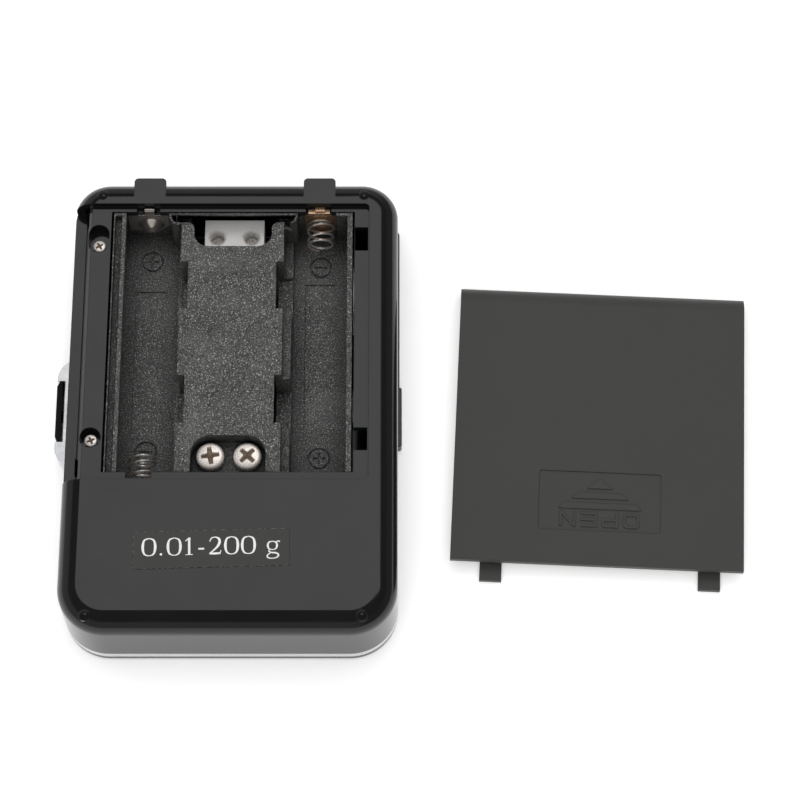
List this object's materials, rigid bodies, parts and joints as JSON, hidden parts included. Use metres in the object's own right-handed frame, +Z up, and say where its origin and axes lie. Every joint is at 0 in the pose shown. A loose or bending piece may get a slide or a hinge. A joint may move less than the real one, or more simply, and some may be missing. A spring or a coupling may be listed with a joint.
{
  "type": "digital gram scale",
  "caption": "Pocket-size digital scale with a flip lid over its weighing platform, lying on its front with the battery cover off and the load cell showing.",
  "frame": {"origin": "middle of the scale's footprint on the surface it lies on, at the outer face of its closed lid", "axes": "+X across the scale towards the loose battery cover, +Y to the hinge end, +Z up to the scale's back"},
  "size_m": [0.1345, 0.0921, 0.0194],
  "materials": {
    "shell_gloss": "gloss black",
    "box_textured": "sparkle-textured black",
    "trim_chrome": "bright silver plating",
    "front_gloss": "gloss black",
    "window_clear": "clear window, slightly tinted",
    "lcd_glass": "grey-green display glass",
    "light_guide": "milky white",
    "board_green": "green solder mask",
    "parts_black": "epoxy black",
    "contact_dome": "bare metal",
    "membrane_rubber": "silicone",
    "nickel": "bright nickel plate",
    "copper_plate": "copper-toned contact plate",
    "spring_steel": "nickel-plated wire",
    "cell_aluminium": "machined",
    "coating_white": "white sealing compound",
    "label_film": "gloss black film",
    "wire_red": "insulation",
    "wire_white": "insulation",
    "platform_steel": "brushed stainless steel",
    "carrier_plastic": "black",
    "button_plastic": "black",
    "key_plastic": "dark grey",
    "cover_plastic": "satin black"
  },
  "bodies": {
    "scale_body": {"rear_shell": "shell_gloss", "battery_box": "box_textured", "trim_band": "trim_chrome", "front_fascia": "front_gloss", "display_window": "window_clear", "lcd_panel": "lcd_glass", "backlight": "light_guide", "main_pcb": "board_green", "pcb_components": "parts_black", "key_switches": "contact_dome", "key_membrane": "membrane_rubber", "pcb_screws": "nickel", "positive_contact": "nickel", "negative_contact": "copper_plate", "top_spring": "spring_steel", "contact_bridge": "nickel", "low_spring": "spring_steel", "load_cell": "cell_aluminium", "gauge_coating": "coating_white", "load_cell_screws": "nickel", "shell_screws": "nickel", "hinge_pins": "nickel", "capacity_label": "label_film", "supply_wires": "wire_red", "signal_wires": "wire_white", "release_spring": "spring_steel"},
    "lid_body": {"lid": "front_gloss"},
    "platform_body": {"weighing_platform": "platform_steel", "platform_carrier": "carrier_plastic", "platform_screws": "nickel"},
    "button_body": {"release_button": "button_plastic"},
    "key_power_body": {"key_power": "key_plastic"},
    "key_tare_body": {"key_tare": "key_plastic"},
    "key_mode_body": {"key_mode": "key_plastic"},
    "key_light_body": {"key_light": "key_plastic"},
    "cover_body": {"battery_cover": "cover_plastic"}
  },
  "joints": [
    {"name": "lid_hinge", "type": "hinge", "parent": "scale_body", "child": "lid_body", "pos_m": [0, 0.0428, 0.0012], "axis": [1, 0, 0], "range_deg": [0, 180]},
    {"name": "platform_press", "type": "slide", "parent": "scale_body", "child": "platform_body", "axis": [0, 0, 1], "range_m": [0, 0.0003], "stiffness_N_per_m": 6500},
    {"name": "button_press", "type": "slide", "parent": "scale_body", "child": "button_body", "axis": [1, 0, 0], "range_m": [0, 0.00045], "stiffness_N_per_m": 1600, "deforming": ["release_spring"]},
    {"name": "key_power_press", "type": "slide", "parent": "scale_body", "child": "key_power_body", "axis": [0, 0, 1], "range_m": [0, 0.0005], "stiffness_N_per_m": 2400},
    {"name": "key_tare_press", "type": "slide", "parent": "scale_body", "child": "key_tare_body", "axis": [0, 0, 1], "range_m": [0, 0.0005], "stiffness_N_per_m": 2400},
    {"name": "key_mode_press", "type": "slide", "parent": "scale_body", "child": "key_mode_body", "axis": [0, 0, 1], "range_m": [0, 0.0005], "stiffness_N_per_m": 2400},
    {"name": "key_light_press", "type": "slide", "parent": "scale_body", "child": "key_light_body", "axis": [0, 0, 1], "range_m": [0, 0.0005], "stiffness_N_per_m": 2400},
    {"name": "cover_lift", "type": "slide", "parent": "scale_body", "child": "cover_body", "axis": [0, 0, 1], "range_m": [0, 0.06]}
  ]
}
